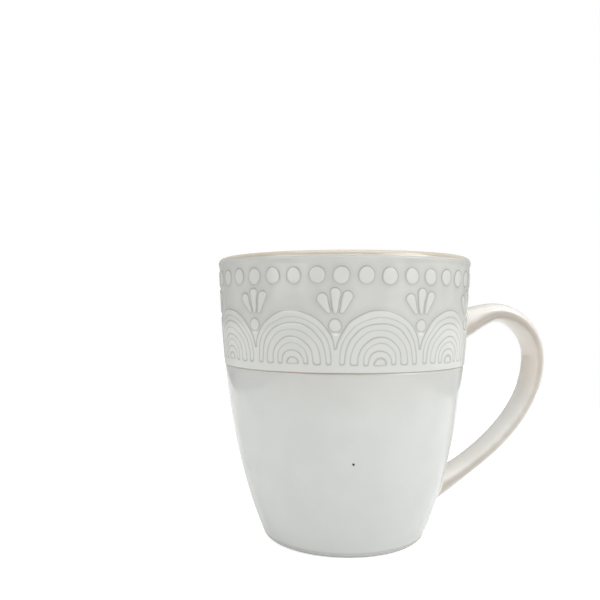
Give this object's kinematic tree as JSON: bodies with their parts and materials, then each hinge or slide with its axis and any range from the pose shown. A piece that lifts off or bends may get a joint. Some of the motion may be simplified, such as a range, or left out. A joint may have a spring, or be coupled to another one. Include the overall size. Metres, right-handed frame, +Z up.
{
  "type": "ceramic mug",
  "caption": "Tapered stoneware drinking mug with a pale gloss glaze, a raised relief belt under a round bare lip, and a strap handle that joins the wall below the lip and near the foot.",
  "frame": {"origin": "on the standing surface, under the middle of cup and handle together", "axes": "+Z up, +X towards the handle, with the cup's own axis on the -X side of the origin"},
  "size_m": [0.127, 0.094, 0.102],
  "materials": {
    "clay": "fired stoneware, tan, matt",
    "slip": "fired slip, smooth and matt",
    "lining": "warm white gloss glaze",
    "glaze": "pale grey-white gloss glaze that breaks to tan on edges"
  },
  "bodies": {
    "root": {"cup_body": "clay", "handle": "clay", "upper_slip_joint": "slip", "lower_slip_joint": "slip", "inner_glaze": "lining", "wall_glaze": "glaze", "relief_belt": "glaze", "handle_glaze": "glaze"}
  },
  "joints": []
}
